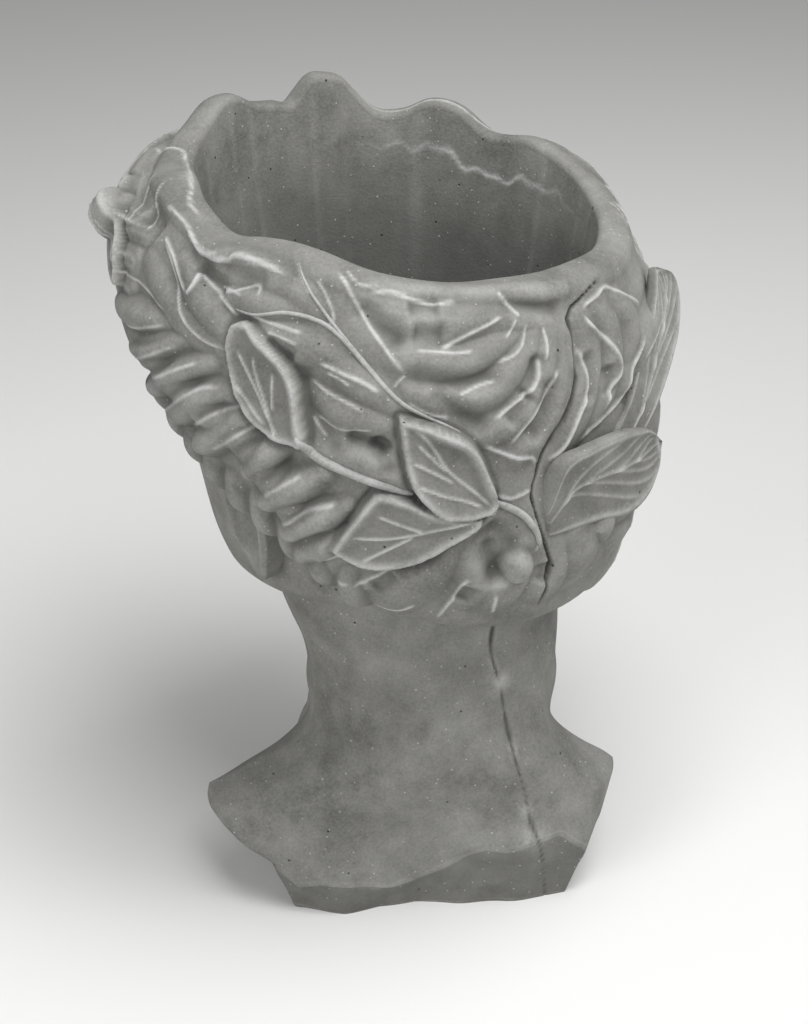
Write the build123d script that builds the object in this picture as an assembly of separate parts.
from build123d import *
import os
from math import atan, cos, degrees, exp, pi, radians, sin

# A cast cement head planter: a draped classical bust whose open crown is the pot.
# Origin: the middle of the flat underside, below the neck. +Z is up.
# The shoulders run along X and the bust faces -Y. The head is turned towards +X.

# Bust
foot_span = 118.0
foot_depth = 97.0
ridge_span = 146.0
ridge_depth = 111.0
ridge_height = 22.0
shoulder_span = 167.0
shoulder_depth = 102.0
shoulder_height = 46.0
slope_span = 104.0
slope_depth = 102.0
slope_height = 69.0
neck_width = 101.0
neck_depth = 96.0
neck_base_height = 92.0

# Places of the bust's outlines, as shares of half their span and depth
foot_shift_share = 0.05
shoulder_shift_share = 0.115
slope_shift_share = 0.04
ridge_lean_share = -0.15
throat_share = 0.12
waist_share = 0.97

# The bust is widest behind the neck and narrows towards the front: where this starts, how far it runs
# and how much it takes off, as shares of half the depth and of the span
no_taper_shares = (0.0, 1.0, 0.0)
chest_taper_shares = (0.40, 0.60, 0.40)
slope_taper_shares = (0.70, 0.75, 0.10)
hewn_outline_shares = [
    (1.00, -0.50), (0.90, -0.90), (0.55, -1.00), (0.00, -0.94), (-0.50, -1.00), (-0.90, -0.88),
    (-1.00, -0.45), (-0.98, 0.50), (-0.86, 0.92), (-0.45, 1.00), (0.10, 0.94), (0.60, 1.00),
    (0.92, 0.88), (1.00, 0.50),
]

# How square the outlines are: 2 is an oval, and more is squarer
hewn_power = 5.0
shoulder_power = 4.0
slope_power = 3.0
neck_power = 2.1
head_power = 2.05

# Head: its axis stands beside the neck's, and its turn is counted from -Y towards +X
head_x = 14.0
head_y = -12.0
head_turn_degrees = 37.0
chin_height = 106.0
nape_height = 150.0
nape_reach = 80.0
hairline_height = 255.0
rim_height = 285.0
rim_lean_share = 0.085
rim_side_lean_share = 0.04

# Face
face_depth = 93.0
face_half_width = 67.0
face_back_depth = 69.0
nose_length = 46.0
nose_width = 15.0
nose_rise = 15.0
eye_spacing = 66.0
eye_depth = 8.0
eye_rise = 5.5
brow_rise = 4.0
lip_width = 42.0
lip_rise = 4.5
chin_rise = 5.0
cheek_rise = 3.0

# Hair and bowl
hair_front = 99.0
hair_half_width = 95.0
hair_back = 99.0
rim_wall = 13.0
bowl_depth = 122.0
drain_diameter = 12.0

# Relief
roll_radius = 12.0
lock_radius = 7.5
leaf_width = 30.0
leaf_thickness = 4.0
leaf_crown = 5.0
stem_radius = 3.2
knot_radius = 12.0
ear_length = 46.0
ear_width = 26.0
ear_rise = 11.0
embed = 4.0
seat_gap = 0.2
overrun = 30.0

ring_points = 24
face_ring_points = 40
face_direction = radians(head_turn_degrees) - pi / 2


def closed_curve(points):
    """A smooth closed outline, with the same spacing of its parameter in every section."""
    count = len(points)
    return Wire([Edge.make_spline(points, periodic=True, parameters=[i / count for i in range(count + 1)])])


def closed_polygon(points):
    return Wire.make_polygon(points, close=True)


def head_point(turn, reach, height):
    """A point by its turn from the face, towards the head's left, its reach from the axis and its height."""
    angle = face_direction + turn
    return (head_x + reach * cos(angle), head_y + reach * sin(angle), height)


def egg(turn, front, side, back, power=head_power):
    """How far an egg-shaped outline reaches at a turn."""
    ahead = cos(turn)
    along = front if ahead > 0 else back
    return (abs(ahead / along) ** power + abs(sin(turn) / side) ** power) ** (-1 / power)


def between(rows, key):
    """The row at a key, read between the rows of a table that starts each row with its key."""
    if key <= rows[0][0]:
        return rows[0][1:]
    for low, high in zip(rows, rows[1:]):
        if key <= high[0]:
            part = (key - low[0]) / (high[0] - low[0])
            ease = part * part * (3 - 2 * part)
            return [a + (b - a) * ease for a, b in zip(low[1:], high[1:])]
    return rows[-1][1:]


# Bust: foot, shoulders and neck

def bust_point(along, across, span, depth, height, shift_share, lean_share, taper_shares):
    """A point of the bust's outline, from its place in a square that reaches from -1 to 1."""
    start, run, loss = taper_shares
    forward = min(max(start - across, 0) / run, 1)
    x = span / 2 * (along * (1 - loss * forward) + shift_share)
    return (x, depth / 2 * across, height + lean_share * x)


def bust_outline(span, depth, height, power, shift_share, lean_share=0.0, taper_shares=no_taper_shares):
    """A squared oval of the bust at a height."""
    points = []
    for i in range(ring_points):
        turn = 2 * pi * i / ring_points
        along = abs(cos(turn)) ** (2 / power) * (1 if cos(turn) > 0 else -1)
        across = abs(sin(turn)) ** (2 / power) * (1 if sin(turn) > 0 else -1)
        points.append(bust_point(along, across, span, depth, height, shift_share, lean_share, taper_shares))
    return closed_curve(points)


def hewn_outline(span, depth, height, lean_share):
    """The chipped outline of the foot, with flat hewn stretches."""
    points = []
    for along, across in hewn_outline_shares:
        points.append(bust_point(along, across, span, depth, height, foot_shift_share, lean_share,
                                 chest_taper_shares))
    return closed_polygon(points)


def make_foot():
    return Solid.make_loft([
        hewn_outline(foot_span, foot_depth, 0, 0),
        hewn_outline(ridge_span, ridge_depth, ridge_height, ridge_lean_share),
    ], True)


def make_shoulders():
    """A hewn band leans out from the foot's ridge, and a smooth slope runs in from it to the neck."""
    middle_height = (slope_height + neck_base_height) / 2
    middle_span = neck_width + (slope_span - neck_width) * throat_share
    middle_depth = neck_depth + (slope_depth - neck_depth) * throat_share
    widest = bust_outline(shoulder_span, shoulder_depth, shoulder_height, shoulder_power, shoulder_shift_share,
                          taper_shares=chest_taper_shares)
    band = Solid.make_loft([
        bust_outline(ridge_span, ridge_depth, ridge_height, hewn_power, foot_shift_share, ridge_lean_share,
                     chest_taper_shares),
        widest,
    ], True)
    upper = Solid.make_loft([
        widest,
        bust_outline(slope_span, slope_depth, slope_height, slope_power, slope_shift_share,
                     taper_shares=slope_taper_shares),
        bust_outline(middle_span, middle_depth, middle_height, neck_power, 0),
        bust_outline(neck_width, neck_depth, neck_base_height, neck_power, 0),
    ])
    return keep_largest(band + upper)


def make_neck():
    """The neck runs up into the head, and ends at the slanted plane under the jaw."""
    waist_width, waist_depth = neck_width * waist_share, neck_depth * waist_share
    tall = Solid.make_loft([
        bust_outline(neck_width, neck_depth, neck_base_height, neck_power, 0),
        bust_outline(waist_width, waist_depth, (neck_base_height + nape_height) / 2, neck_power, 0),
        bust_outline(neck_width, neck_depth, nape_height + overrun, neck_power, 0),
    ])
    return keep_largest(tall - above_plane(jaw_lean))


# Head: slanted sections that fan out from a line behind the nape

jaw_reach_share = 0.87
jaw_lean = (chin_height - nape_height) / (nape_reach + face_depth * jaw_reach_share)
hair_lean = (hairline_height - nape_height) / (nape_reach + face_depth)


def plane_height(lean, ahead):
    return nape_height + lean * (ahead + nape_reach)


def above_plane(lean):
    """The half space above a slanted plane of the fan, as a large block."""
    size = 4 * hair_front
    block = Box(size, size, size, align=(Align.CENTER, Align.CENTER, Align.MIN))
    return in_head_frame(block.moved(Location((0, 0, plane_height(lean, 0)), (0, -slant(lean), 0))))


def below_plane(lean):
    """The half space below a slanted plane of the fan, as a large block."""
    size = 4 * hair_front
    block = Box(size, size, size, align=(Align.CENTER, Align.CENTER, Align.MAX))
    return in_head_frame(block.moved(Location((0, 0, plane_height(lean, 0)), (0, -slant(lean), 0))))


def slant(lean):
    """The angle of a lean, in degrees."""
    return degrees(atan(lean))


def in_head_frame(shape):
    """From a frame whose X points where the face looks, to the part's frame."""
    return shape.moved(Location((head_x, head_y, 0), (0, 0, head_turn_degrees - 90)))


def keep_largest(shape):
    return max(shape.solids(), key=lambda solid: solid.volume)


# Each row: height from chin to hairline, then front, side and back reach
face_shares = [
    (0.00, 0.90, 0.52, 0.95), (0.08, 0.93, 0.70, 0.98), (0.20, 0.93, 0.86, 0.99), (0.32, 0.96, 0.93, 1.00),
    (0.47, 0.98, 0.98, 1.00), (0.65, 1.00, 1.00, 0.98), (1.00, 1.02, 1.00, 0.95),
]

face_height = hairline_height - chin_height

# Each row: place across and half width as shares of a width, then height and half height as shares of the face
middle_feature_shares = {
    "chin": (0.0, 0.50, 0.060, 0.070), "lower_lip": (0.0, 0.50, 0.225, 0.025), "upper_lip": (0.0, 0.50, 0.290, 0.025),
}
side_feature_shares = {
    "eye_hollow": (0.50, 0.34, 0.62, 0.070), "eyelid": (0.50, 0.21, 0.61, 0.040), "brow": (0.50, 0.48, 0.73, 0.035),
    "cheek": (1.06, 0.35, 0.50, 0.090),
}
nose_root_share = 0.70
nose_tip_share = 0.85
nose_end_share = 1.12
nose_start_rise_share = 0.25
nose_start_width_share = 0.55


def bump(turn, height, shares, width):
    """A smooth swelling of the face about a point, from 0 to 1."""
    centre, half_width, centre_height, half_height = shares
    across = (turn * face_depth - centre * width) / (half_width * width)
    up = ((height - chin_height) / face_height - centre_height) / half_height
    return exp(-across * across - up * up)


def nose_reach(turn, height):
    """The nose is a ridge that rises from between the eyes to its tip."""
    down = (chin_height + nose_root_share * face_height - height) / nose_length
    if down < 0 or down > nose_end_share:
        return 0
    tip = nose_end_share - 2 * (1 - nose_tip_share) / 3
    fall = 1 if down < tip else (nose_end_share - down) / (nose_end_share - tip)
    rise = nose_start_rise_share + (1 - nose_start_rise_share) * min(down / nose_tip_share, 1)
    half_width = nose_width * (nose_start_width_share + (1 - nose_start_width_share) * down)
    return nose_rise * rise * fall * exp(-(turn * face_depth / half_width) ** 2)


def plain_reach(turn, height):
    """How far the face reaches at a turn and a height, without its features."""
    front, side, back = between(face_shares, (height - chin_height) / face_height)
    return egg(turn, front * face_depth, side * face_half_width, back * face_back_depth)


def face_reach(turn, height):
    """How far the face reaches with its features."""
    reach = plain_reach(turn, height) + nose_reach(turn, height)
    for name, rise in (("chin", chin_rise), ("lower_lip", lip_rise), ("upper_lip", lip_rise)):
        reach += rise * bump(turn, height, middle_feature_shares[name], lip_width)
    rises = {"eye_hollow": -eye_depth, "eyelid": eye_rise, "brow": brow_rise, "cheek": cheek_rise}
    for name, rise in rises.items():
        for side_turn in (turn, -turn):
            reach += rise * bump(side_turn, height, side_feature_shares[name], eye_spacing)
    return reach


def face_section(share):
    """The face's level outline at a share of its height."""
    height = chin_height + share * face_height
    turns = [2 * pi * i / face_ring_points for i in range(face_ring_points)]
    return closed_curve([head_point(turn, face_reach(turn, height), height) for turn in turns])


face_section_shares = [
    -0.04, 0.03, 0.10, 0.17, 0.225, 0.255, 0.29, 0.33, 0.385, 0.45, 0.53, 0.61, 0.67, 0.73, 0.82, 0.92, 1.04,
]


def make_face():
    """Between the slanted plane under the jaw and the slanted plane of the hairline."""
    sections = [face_section(share) for share in face_section_shares]
    whole = Solid.make_loft(sections[:4])
    for first in range(3, len(sections) - 1, 3):
        whole += Solid.make_loft(sections[first:first + 4])
    return whole - above_plane(hair_lean) - below_plane(jaw_lean)


# Each row: step from the hair's lower edge to the rim, then height, lean, front, side and back shares
hair_shares = [
    (0.00, 0.00, 0.00, 0.93, 0.78, 0.77), (0.05, 0.05, 0.05, 0.98, 0.90, 0.87), (0.18, 0.17, 0.16, 1.00, 0.96, 0.96),
    (0.40, 0.38, 0.36, 1.01, 1.00, 1.01), (0.65, 0.64, 0.62, 1.00, 0.99, 0.99), (0.86, 0.86, 0.85, 0.97, 0.94, 0.95),
    (1.00, 1.00, 1.00, 0.92, 0.88, 0.90),
]


def hair_row(step):
    """Height on the axis, both leans, and front, side and back reach of the hair at a step."""
    up, over, front, side, back = between(hair_shares, step)
    low = plane_height(hair_lean, 0)
    return (low + (rim_height - low) * up, hair_lean + (rim_lean_share - hair_lean) * over,
            rim_side_lean_share * over, front * hair_front, side * hair_half_width, back * hair_back)


def hair_point(turn, step):
    """A point of the hair's outside, from its lower edge at step 0 to the rim at step 1 and past it."""
    height, lean, side_lean, front, side, back = hair_row(step)
    reach = egg(turn, front, side, back)
    past_rim = max(step - 1, 0) * (rim_height - nape_height)
    return head_point(turn, reach, height + lean * reach * cos(turn) + side_lean * reach * sin(turn) + past_rim)


def make_hair_solid():
    sections = []
    for row in hair_shares:
        points = [hair_point(2 * pi * i / ring_points, row[0]) for i in range(ring_points)]
        sections.append(closed_curve(points))
    return Solid.make_loft(sections)


# Each row: height from the bowl's floor to above the rim, lean, and front, side and back shares of the rim's mouth
bowl_shares = [
    (0.00, 0.0, 0.52, 0.50, 0.52), (0.05, 0.0, 0.66, 0.64, 0.66), (0.14, 0.1, 0.75, 0.74, 0.75),
    (0.50, 0.6, 0.89, 0.87, 0.89), (1.00, 1.0, 1.00, 1.00, 1.00), (1.25, 1.0, 1.02, 1.03, 1.02),
]


def make_bowl_space():
    """The space that holds the soil and the plant, from its floor to above the rim."""
    floor = rim_height - bowl_depth
    _, lean, side_lean, front, side, back = hair_row(1)
    sections = []
    for up, over, front_share, side_share, back_share in bowl_shares:
        points = []
        for i in range(ring_points):
            turn = 2 * pi * i / ring_points
            reach = egg(turn, (front - rim_wall) * front_share, (side - rim_wall) * side_share,
                        (back - rim_wall) * back_share)
            tilt = over * reach * (lean * cos(turn) + side_lean * sin(turn))
            height = floor + bowl_depth * up + tilt
            points.append(head_point(turn, reach, height))
        sections.append(closed_curve(points))
    return Solid.make_loft(sections)


def make_drain():
    """A straight hole from the bowl's floor down through the neck and the foot."""
    length = rim_height - bowl_depth + overrun
    hole = Cylinder(drain_diameter / 2, length + overrun, align=(Align.CENTER, Align.CENTER, Align.MIN))
    return hole.moved(Location((head_x, head_y, -overrun)))


# Relief on the hair: each place is a turn as a share of a half turn and a step from edge to rim
nudge_share = 0.001
station_nudge_share = 0.02
strand_profile_shares = [(-1, 0.35), (-0.45, 1), (0.45, 1), (1, 0.35)]
leaf_station_shares = [0, 0.2, 0.45, 0.75, 1]
leaf_end_shares = (0.12, 0.1)
leaf_edge_share = 0.6
leaf_free_share = 0.4
rim_leaf_outline_shares = [(-1, -1), (-1, 0.25), (-0.6, 0.8), (0, 1), (0.6, 0.8), (1, 0.25), (1, -1)]
rim_leaf_thickness_share = 0.75


def hair_place(turn_share, step, lift=0.0):
    """A point on the hair, lifted square to it."""
    turn = pi * turn_share
    here = Vector(*hair_point(turn, step))
    around = Vector(*hair_point(turn + nudge_share, step)) - here
    up = Vector(*hair_point(turn, step + nudge_share)) - here if step < 1 else Vector(0, 0, 1)
    return here + around.cross(up).normalized() * lift


def face_place(turn_share, share, lift=0.0):
    """A point on the side of the face, lifted straight out."""
    height = chin_height + share * face_height
    turn = pi * turn_share
    return Vector(*head_point(turn, face_reach(turn, height) + lift, height))


def along_path(path, part):
    """The place at a part of a path's length, on a smooth line through its points."""
    last = len(path) - 1
    index = min(int(part * last), last - 1)
    t = part * last - index
    before = path[max(index - 1, 0)]
    start, end = path[index], path[index + 1]
    after = path[min(index + 2, last)]
    place = []
    for a, b, c, d in zip(before, start, end, after):
        place.append(b + t * (c - a) / 2 + t * t * (a - 2.5 * b + 2 * c - d / 2)
                     + t * t * t * (1.5 * (b - c) + (d - a) / 2))
    return place


def relief_loft(place, path, profile, stations):
    """A ruled loft along a path on the form. The profile gives each station's (across, lift) outline."""
    sections = []
    for part in stations:
        here = along_path(path, part)
        back = place(*along_path(path, max(part - station_nudge_share, 0)))
        ahead = place(*along_path(path, min(part + station_nudge_share, 1)))
        base = place(*here)
        normal = (place(*here, embed) - base).normalized()
        across = (ahead - back).normalized().cross(normal).normalized()
        sections.append(closed_polygon([base + across * x + normal * y for x, y in profile(part)]))
    return Solid.make_loft(sections, True)


def strand(path_shares, radius, start_share=0.3, end_share=0.3, rise_share=1.0, segments=4, place=hair_place,
           floor=-embed):
    """A lock, stem or roll: round above the form and narrower at its ends."""
    def profile(part):
        swell = start_share + (1 - start_share) * sin(pi * min(part, 0.5))
        if part > 0.5:
            swell = end_share + (1 - end_share) * sin(pi * part)
        wide, high = radius * swell, radius * rise_share * swell
        top = [(wide * across, high * up) for across, up in strand_profile_shares]
        return [(-wide, floor)] + top + [(wide, floor)]
    return relief_loft(place, path_shares, profile, [i / segments for i in range(segments + 1)])


def leaf(base, tip, width, tip_lift=0.0, bend_share=0.0, place=hair_place):
    """A crowned leaf with a raised midrib, from its stalk to its point."""
    middle = ((base[0] + tip[0]) / 2, (base[1] + tip[1]) / 2 + bend_share)

    def profile(part):
        stalk, point = leaf_end_shares
        half = width / 2 * (max(sin(pi * part ** 0.8) ** 0.8, stalk) if part < 1 else point)
        lift = tip_lift * part ** 2
        floor = -embed if tip_lift == 0 or part < leaf_free_share else lift - leaf_thickness
        edge = lift + leaf_thickness * leaf_edge_share
        return [(-half, floor), (-half, edge), (0, edge + leaf_crown / 2), (half, edge), (half, floor)]
    return relief_loft(place, [base, middle, tip], profile, leaf_station_shares)


def rim_leaf(turn_share, width_share, height_share):
    """The point of a wreath leaf that stands on the rim, above the forehead."""
    half = leaf_width * width_share / 2
    high = leaf_width * height_share
    outline = [(half * across, high * up) for across, up in rim_leaf_outline_shares]
    turn = pi * turn_share
    rim = Vector(*hair_point(turn, 1))
    out = Vector(cos(face_direction + turn), sin(face_direction + turn), 0)
    plane = Plane(origin=rim, x_dir=Vector(out.Y, -out.X, 0), z_dir=-out)
    blade = extrude(plane * make_face_of(outline), rim_wall * rim_leaf_thickness_share)
    return keep_largest(blade - below_rim())


def make_face_of(outline):
    return Face(Wire.make_polygon([(x, y, 0) for x, y in outline], close=True))


def below_rim():
    """The half space below the rim's plane, as a large block."""
    size = 4 * hair_front
    _, lean, side_lean, _, _, _ = hair_row(1)
    ahead = Vector(cos(face_direction), sin(face_direction), lean)
    left = Vector(-sin(face_direction), cos(face_direction), side_lean)
    plane = Plane(origin=(head_x, head_y, rim_height), x_dir=ahead, z_dir=ahead.cross(left))
    return plane * Box(size, size, size, align=(Align.CENTER, Align.CENTER, Align.MAX))


def mirrored(path_shares):
    return [(-turn, step) for turn, step in path_shares]


back_leaf_shares = {
    "leaf_back_upper": ((0.88, 0.48), (0.775, 0.72), 1.00),
    "leaf_back_lower": ((0.86, 0.46), (0.69, 0.25), 0.95),
    "leaf_side": ((0.67, 0.50), (0.57, 0.79), 0.85),
    "leaf_temple": ((0.50, 0.62), (0.37, 0.86), 0.90),
    "leaf_brow": ((0.30, 0.60), (0.17, 0.84), 0.90),
}
rim_leaf_shares = {
    "rim_leaf_left": (0.05, 0.75, 0.45), "rim_leaf_middle": (-0.13, 0.95, 0.85), "rim_leaf_right": (-0.31, 0.95, 0.5),
}
open_leaf_shares = {
    "open_leaf_lower": ((0.97, 0.40), (1.12, 0.56), 1.10, 0.65),
    "open_leaf_upper": ((1.05, 0.56), (1.16, 0.92), 0.95, 0.35),
}
roll_shares = [(0.34, 0.24), (0.48, 0.35), (0.56, 0.36), (0.625, 0.30), (0.68, 0.21), (0.74, 0.12), (0.86, 0.09)]
brow_wave_shares = [(0.02, 0.16), (0.09, 0.11), (0.17, 0.16), (0.26, 0.17), (0.36, 0.22)]
stem_shares = {
    "main_stem": [(0.645, 0.99), (0.69, 0.91), (0.73, 0.82), (0.78, 0.74), (0.84, 0.69), (0.87, 0.64)],
    "lower_stem": [(0.70, 0.51), (0.78, 0.50), (0.86, 0.46), (0.92, 0.38)],
    "branch_stem": [(0.58, 0.82), (0.62, 0.87), (0.66, 0.895), (0.69, 0.88)],
}
crown_lock_shares = [
    [(0.97, 0.95), (0.88, 0.965), (0.80, 0.97), (0.74, 0.96)],
    [(0.97, 0.92), (0.91, 0.91), (0.84, 0.88), (0.79, 0.88)],
    [(0.95, 0.91), (0.935, 0.84), (0.88, 0.76), (0.82, 0.76)],
    [(0.96, 0.90), (0.955, 0.78), (0.93, 0.72), (0.88, 0.64)],
    [(0.985, 0.89), (0.98, 0.76), (0.955, 0.64), (0.925, 0.52)],
]
nape_lock_shares = [
    [(0.91, 0.34), (0.86, 0.26), (0.80, 0.16)],
    [(0.94, 0.24), (0.90, 0.14), (0.84, 0.10)],
]
knot_shares = [(0.93, 0.24), (0.95, 0.31), (0.97, 0.36)]
ear_shares = [(0.50, 0.62), (0.55, 0.60), (0.575, 0.52), (0.56, 0.43), (0.535, 0.355)]


def seat(piece, *carriers):
    """What is left of a piece outside the pieces that carry it, so that their faces meet."""
    for carrier in carriers:
        piece = piece - carrier
    return keep_largest(piece)


parts = {}
foot = make_foot()
shoulders = make_shoulders()
neck = make_neck()
face = make_face()
hair = make_hair_solid()
bowl = make_bowl_space()
drain = make_drain()

parts["foot_block"] = foot - drain
parts["shoulders"] = shoulders - drain
parts["neck"] = neck - drain
parts["face"] = face - bowl - drain
parts["hair_bowl"] = hair - bowl


relief = []


def boxes_meet(one, other):
    """Whether two bounding boxes meet."""
    return (one.min.X < other.max.X and other.min.X < one.max.X and one.min.Y < other.max.Y
            and other.min.Y < one.max.Y and one.min.Z < other.max.Z and other.min.Z < one.max.Z)


def add(name, piece, *carriers):
    """Seat a piece of relief on what carries it and against the relief that is there already."""
    piece = seat(piece, *carriers)
    box = piece.bounding_box()
    for other, other_box in relief:
        if boxes_meet(box, other_box):
            piece = seat(piece, other)
    parts[name] = piece
    relief.append((piece, piece.bounding_box()))


sides = {"left": list, "right": mirrored}
for side, flip in sides.items():
    add(f"ear_{side}", strand(flip(ear_shares), ear_width / 2, 0.6, 0.5, ear_rise / (ear_width / 2),
                              place=face_place, floor=seat_gap), hair)
    add(f"side_roll_{side}", strand(flip(roll_shares), roll_radius, 0.7, 0.5, segments=6), hair)
    add(f"brow_wave_{side}", strand(flip(brow_wave_shares), roll_radius, 0.5, 0.9, segments=5), hair)
add("wreath_knot", strand(knot_shares, knot_radius, 0.7, 0.7, rise_share=0.9, segments=3), hair)
for name, (base, tip, size, lift_share) in open_leaf_shares.items():
    add(name, leaf(base, tip, leaf_width * size, leaf_width * lift_share), hair)
for name, (turn_share, width_share, height_share) in rim_leaf_shares.items():
    add(name, rim_leaf(turn_share, width_share, height_share))
for side, flip in sides.items():
    for name, (base, tip, size) in back_leaf_shares.items():
        base, tip = flip([base, tip])
        add(f"{name}_{side}", leaf(base, tip, leaf_width * size), hair)
    for name, path in stem_shares.items():
        add(f"{name}_{side}", strand(flip(path), stem_radius, 0.7, 0.7, segments=4), hair)
    for number, path in enumerate(crown_lock_shares, 1):
        add(f"crown_lock_{side}_{number}", strand(flip(path), lock_radius, 0.4, 0.3, rise_share=0.6), hair)
    for number, path in enumerate(nape_lock_shares, 1):
        add(f"nape_lock_{side}_{number}", strand(flip(path), lock_radius, 0.4, 0.3, rise_share=0.6), hair)

os.makedirs("parts", exist_ok=True)
for name, shape in parts.items():
    shape = shape if isinstance(shape, Solid) else keep_largest(shape)
    shape.label = name
    export_step(shape, f"parts/{name}.step")
